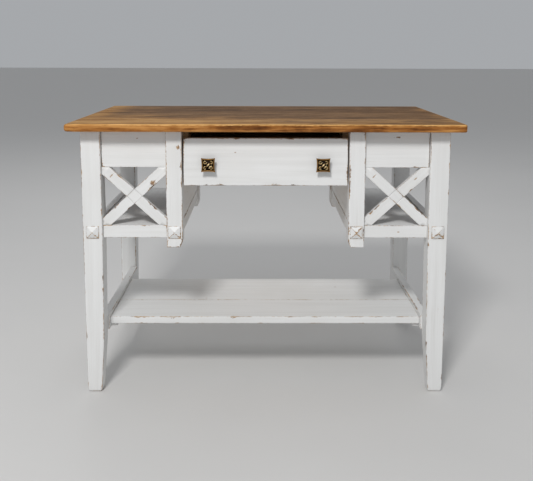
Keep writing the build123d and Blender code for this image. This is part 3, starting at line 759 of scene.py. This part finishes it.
# ---------------------------------------------------------------- crossed braces
def build_braces():
    """Two crossed arms in each front opening, cut to it and halved where they cross."""
    half_width = 14.5 * MM
    for side, sx in SIDES.items():
        low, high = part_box(f"brace_rising_{side}")
        middle = (low + high) / 2
        size = high - low
        angle = math.atan2(size.z, size.x)
        span = Vector((size.xz.length / 2 + half_width, half_width, size.y / 2))
        opening = [(low, (-1, 0, 0)), (low, (0, 0, -1)), (high, (1, 0, 0)), (high, (0, 0, 1))]
        for kind, slope in (("rising", 1), ("falling", -1)):
            node = f"brace_{kind}_{side}"
            in_front = slope != sx
            turn = Matrix.Rotation(-slope * angle, 3, "Y") @ Matrix(((1, 0, 0), (0, 0, -1), (0, 1, 0)))
            other = Matrix.Rotation(slope * angle, 3, "Y") @ Vector((0, 0, 1))
            upper, lower = middle + other * half_width, middle - other * half_width
            half_lap = [(upper, other), (lower, -other), (middle, (0, 1, 0) if in_front else (0, -1, 0))]
            painted(node, (middle - span, middle + span), turn=turn, step=6, wear=1.3, radius=1.3,
                    clips=[opening + [(upper, -other)], opening + [(lower, other)], opening + half_lap])


build_braces()


# ---------------------------------------------------------------- pyramid trim
def pyramid_height(x, z, half, base, rise):
    """How far a pyramid stands out at a place, with its point, ridges and rim softened."""
    blunt = 0.97
    ridge_cut, ridge_reach = 0.35 * MM, 1.2 * MM
    rim_cut, rim_reach = 0.6 * MM, 0.8 * MM
    reach = max(abs(x), abs(z))
    slope = min(1 - reach / half, blunt)
    ridge_loss = ridge_cut * max(0, 1 - off_ridge(x, z) / ridge_reach)
    rim_loss = rim_cut * max(0, 1 - (half - reach) / rim_reach)
    return base + rise * slope - ridge_loss - rim_loss


def off_ridge(x, z):
    """How far a place on a pyramid is from its nearest ridge."""
    return abs(abs(x) - abs(z)) / math.sqrt(2)


def build_pyramids():
    """Four small pyramids with softened ridges and their paint rubbed off the points."""
    low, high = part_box("pyramid_blocks")
    half = (high.z - low.z) / 2
    base = 2 * MM
    rise = high.y - low.y - base
    centres = [sx * (side_of(f"{kind}_front_right", X, -1) + side_of(f"{kind}_front_right", X, 1)) / 2
               for kind in ("leg", "post") for sx in SIDES.values()]
    steps = 24
    row = steps + 1
    places = [half * (2 * i / steps - 1) for i in range(row)]
    points, local, edges, chips, faces = [], [], [], [], []
    for number, cx in enumerate(centres):
        start = len(points)
        for x in places:
            for z in places:
                reach = max(abs(x), abs(z))
                height = pyramid_height(x, z, half, base, rise)
                points.append((cx + x, high.y - height, (low.z + high.z) / 2 + z))
                local.append((x + number, z, height))
                edges.append(min(off_ridge(x, z), half - reach) / MM + 0.1)
                lower_half = 0.28 if z < 0 else 0.0
                chips.append(max(0.55 - 0.14 * reach / MM, lower_half))
        for i in range(steps):
            for j in range(steps):
                a = start + i * row + j
                faces.append((a, a + row, a + row + 1, a + 1))
        ring = [start + j for j in range(row)] + [start + i * row + steps for i in range(1, row)]
        ring += [start + steps * row + j for j in range(steps - 1, -1, -1)]
        ring += [start + i * row for i in range(steps - 1, 0, -1)]
        back = len(points)
        for v in ring:
            points.append((points[v][0], high.y, points[v][2]))
            local.append(local[v])
            edges.append(0.0)
            chips.append(0.0)
        for k in range(len(ring)):
            n = (k + 1) % len(ring)
            faces.append((ring[k], ring[n], back + n, back + k))
        faces.append(tuple(back + k for k in range(len(ring))))
    mesh = bpy.data.meshes.new("painted_pyramid_blocks")
    mesh.from_pydata(points, [], faces)
    mark_local(mesh, local)
    mark(mesh, edge=edges, chip=chips)
    piece = bpy.data.objects.new(mesh.name, mesh)
    piece["seed"] = [0.0, 0.0, 0.0]
    piece["wear"] = 1.6
    dress(piece, "frame", "white_paint", "pyramid_blocks")


build_pyramids()


# ---------------------------------------------------------------- drawer
def build_drawer():
    """The drawer front, a fine gap narrower than its opening, with bare wood on its inner face."""
    low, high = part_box("drawer_front")
    gap = Vector((0.2 * MM, 0, 0))
    piece = painted("drawer_front", (low + gap, high - gap), body="drawer", wear=1.4, step=6)
    paint_ends, wood_starts = high.y - 1.5 * MM, high.y - 0.5 * MM
    mark(piece.data, raw=[smooth(v.co.y, paint_ends, wood_starts) for v in piece.data.vertices])


build_drawer()


# ---------------------------------------------------------------- knobs
def loft(loops, closed=True):
    """Joins equal loops of points into a skin: a closed ring of loops, or a run with capped ends."""
    points = [p for loop in loops for p in loop]
    count, size = len(loops), len(loops[0])
    faces = []
    for i in range(count if closed else count - 1):
        this, following = i * size, ((i + 1) % count) * size
        for j in range(size):
            k = (j + 1) % size
            faces.append((this + j, following + j, following + k, this + k))
    if not closed:
        faces.append(tuple(range(size)))
        faces.append(tuple(reversed(range((count - 1) * size, count * size))))
    return points, faces


def circle(sides):
    """The angles of a full turn in equal steps."""
    return [2 * math.pi * k / sides for k in range(sides)]


def tube(path, radii, flat=1.0):
    """A round rod along a path in the knob's face; flat under 1 presses it towards the face."""
    loops = []
    for i, p in enumerate(path):
        before = path[max(i - 1, 0)]
        after = path[min(i + 1, len(path) - 1)]
        across = (after - before).normalized().cross(Vector((0, 0, 1)))
        loops.append([p + across * radii[i] * math.cos(a) + Vector((0, 0, radii[i] * flat * math.sin(a)))
                      for a in circle(10)])
    return loft(loops, closed=False)


def outline(half, hollow, inset):
    """A square with hollow sides and sharp corners, drawn in by inset."""
    per_side = 14
    reach = half - inset
    loop = []
    for k in range(4):
        for i in range(per_side):
            along = 2 * i / per_side - 1
            x, y = along * reach, -(reach - hollow * (1 - along * along))
            turn = k * math.pi / 2
            loop.append((x * math.cos(turn) - y * math.sin(turn), x * math.sin(turn) + y * math.cos(turn)))
    return loop


KNOB_HEAD = 7.0        # thickness of a knob's head, in millimetres


def knob_frame(half, hollow, head):
    """The square frame round a knob's head: a rounded bar, by the inset and height of its section."""
    bar = ((0.7, 0.0), (0.1, 0.9), (0.0, 4.0), (0.5, 5.3), (1.5, 6.0), (2.7, 5.7), (3.5, 4.9), (3.9, 3.4),
           (3.9, 0.6), (3.3, 0.0))
    rails = [outline(half, hollow, inset) for inset, _ in bar]
    return loft([[Vector((*rail[i], head + height)) for rail, (_, height) in zip(rails, bar)]
                 for i in range(len(rails[0]))])


def knob_plate(half, hollow, head):
    """The flat plate behind the openwork."""
    plate = outline(half, hollow, 3.4)
    return loft([[Vector((x, y, head + z)) for x, y in plate] for z in (0.6, 2.2)], closed=False)


def knob_neck(head):
    """The turned neck, by its radius and height from the drawer out to the head."""
    turned = ((8.5, 0.0), (8.5, 2.0), (7.9, 2.8), (6.4, 3.4), (4.9, 4.6), (4.4, 7.5), (4.6, 11.0),
              (5.6, 13.6), (7.6, head + 0.4), (7.8, head + 1.2))
    return loft([[Vector((r * math.cos(a), r * math.sin(a), z)) for a in circle(28)] for r, z in turned],
                closed=False)


def knob_scroll(sx, sy, head):
    """One scroll, which starts on its inner side, curls round its own middle and thins as it goes."""
    steps = 18
    sweep = math.radians(245)
    widest, closing, rise = 3.9, 1.5, 0.5
    thick, thinning = 1.45, 0.35
    centre = Vector((8.0 * sx, 7.8 * sy, head + 4.3))
    start = math.atan2(-sy, -sx) + sx * sy * 0.5
    path, radii = [], []
    for i in range(steps + 1):
        along = i / steps
        angle = start + sx * sy * along * sweep
        reach = widest - closing * along ** 2
        path.append(centre + Vector((reach * math.cos(angle), reach * math.sin(angle), rise * along)))
        radii.append(thick - thinning * along)
    return tube(path, radii)


def knob_stem(sx, sy, head):
    """The short stem from the knob's middle to a scroll."""
    reaches = (2.5, 3.6, 4.8, 5.9)
    path = [Vector((sx * r, sy * r * 0.97, head + 3.6 + 0.5 * math.sin(r / 3))) for r in reaches]
    return tube(path, (0.9, 1.2, 1.3, 1.0))


def knob_leaf(x, y, length, width, head):
    """A leaf that lies diagonally across the knob, pointed at both ends."""
    steps = 12
    path, radii = [], []
    for i in range(steps + 1):
        along = 2 * i / steps - 1
        step = along * length / 2 * math.sqrt(0.5)
        swell = 1 - along * along
        path.append(Vector((x + step, y + step, head + 4.6 + (width - 1.0) * swell)))
        radii.append(max(0.25, width * swell ** 0.6))
    return tube(path, radii, flat=0.8)


def knob_parts(half, depth):
    """The knob's pieces and how polished each is: X and Y in its face, Z out to the hand, millimetres."""
    head = depth - KNOB_HEAD
    hollow = 1.6
    yield knob_frame(half, hollow, head), 0.5
    yield knob_plate(half, hollow, head), 0.0
    yield knob_neck(head), 0.5
    for sx, sy in ((-1, 1), (1, 1), (-1, -1), (1, -1)):
        yield knob_scroll(sx, sy, head), 0.8
        yield knob_stem(sx, sy, head), 0.5
    for x, y, length, width in ((0.0, 0.3, 12.0, 2.1), (5.2, -5.0, 11.0, 1.5), (-5.4, 5.2, 8.0, 1.0)):
        yield knob_leaf(x, y, length, width, head), 1.0


def build_knobs():
    """Cast square knobs: a hollow-sided frame round four scrolls and a leaf, on a turned neck."""
    for side in SIDES:
        node = f"knob_{side}"
        low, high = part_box(node)
        middle = (low + high) / 2
        depth = (high.y - low.y) / MM
        points, faces, raised = [], [], []
        for (part_points, part_faces), lift in knob_parts((high.x - low.x) / 2 / MM, depth):
            faces += [tuple(i + len(points) for i in face) for face in part_faces]
            for p in part_points:
                points.append((middle.x + p.x * MM, high.y - p.z * MM, middle.z + p.y * MM))
                raised.append(lift * smooth(p.z, depth - KNOB_HEAD, depth - 1.2))
        mesh = bpy.data.meshes.new(f"cast_{node}")
        mesh.from_pydata(points, [], faces)
        mark(mesh, raised=raised)
        work = bmesh.new()
        work.from_mesh(mesh)
        bmesh.ops.recalc_face_normals(work, faces=work.faces[:])
        work.to_mesh(mesh)
        work.free()
        dress(bpy.data.objects.new(mesh.name, mesh), "drawer", "antique_brass", node)


build_knobs()


# ---------------------------------------------------------------- what stays as the CAD made it
def finish_cad_pieces():
    """The drawer box, runners, blocks and screws keep their CAD shapes and get real finishes."""
    for node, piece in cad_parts.items():
        if piece.hide_render:
            continue
        finish = "bare_wood"
        if "screw" in node:
            finish = "screw_steel"
        elif node.startswith(("drawer_side", "drawer_runner", "drawer_kicker")):
            finish = "bare_wood_along_y"
        piece.data.materials.clear()
        piece.data.materials.append(MATERIALS[finish])


finish_cad_pieces()


# ---------------------------------------------------------------- floor, lights and camera
def build_stage():
    """A plain pale floor, pale sky light, and two softboxes aimed at the middle of the desk."""
    floor = bmesh.new()
    bmesh.ops.create_grid(floor, x_segments=1, y_segments=1, size=40.0)
    mesh = bpy.data.meshes.new("floor")
    floor.to_mesh(mesh)
    floor.free()
    piece = bpy.data.objects.new("floor", mesh)
    mesh.materials.append(floor_plaster())
    bpy.context.scene.collection.objects.link(piece)

    world = bpy.data.worlds.new("studio")
    world.use_nodes = True
    background = world.node_tree.nodes["Background"]
    background.inputs["Color"].default_value = colour(0.93, 0.96, 1.0)
    background.inputs["Strength"].default_value = 0.41
    bpy.context.scene.world = world
    desk_middle = (0.0, 0.0, 0.4)
    lamp("key", place=(-0.8, -3.35, 3.35), target=desk_middle, size=0.7, power=111.0)
    lamp("back", place=(-0.4, 2.8, 4.0), target=desk_middle, size=2.4, power=34.0)


def lamp(name, place, target, size, power):
    """A square softbox that faces its target."""
    data = bpy.data.lights.new(name, "AREA")
    data.size = size
    data.energy = power
    light = bpy.data.objects.new(name, data)
    light.location = place
    light.rotation_euler = (Vector(target) - Vector(place)).to_track_quat("-Z", "Y").to_euler()
    bpy.context.scene.collection.objects.link(light)


def build_camera():
    """In front of the desk, a little to the left of its middle, and looking slightly down."""
    distance, height, aside = 1.926, 0.952, -0.0113
    pitch, yaw, roll = math.radians(8.197), math.radians(0.391), math.radians(0.164)
    right = Vector((math.cos(yaw), -math.sin(yaw), 0))
    ahead = Vector((math.sin(yaw), math.cos(yaw), 0))
    forward = ahead * math.cos(pitch) - Vector((0, 0, math.sin(pitch)))
    up = ahead * math.sin(pitch) + Vector((0, 0, math.cos(pitch)))
    turned_right = right * math.cos(roll) + up * math.sin(roll)
    turned_up = up * math.cos(roll) - right * math.sin(roll)
    data = bpy.data.cameras.new("camera")
    data.sensor_width = 36.0
    data.lens = 49.6773
    data.shift_y = -0.15591        # the frame sits below the lens's axis, as in the photograph
    camera = bpy.data.objects.new("camera", data)
    rotation = Matrix((turned_right, turned_up, -forward)).transposed()
    place = Vector((aside, cad_low.y - distance, height))
    camera.matrix_world = Matrix.Translation(place) @ rotation.to_4x4()
    bpy.context.scene.collection.objects.link(camera)
    bpy.context.scene.camera = camera


build_stage()
build_camera()
bpy.context.scene.view_settings.view_transform = "Standard"
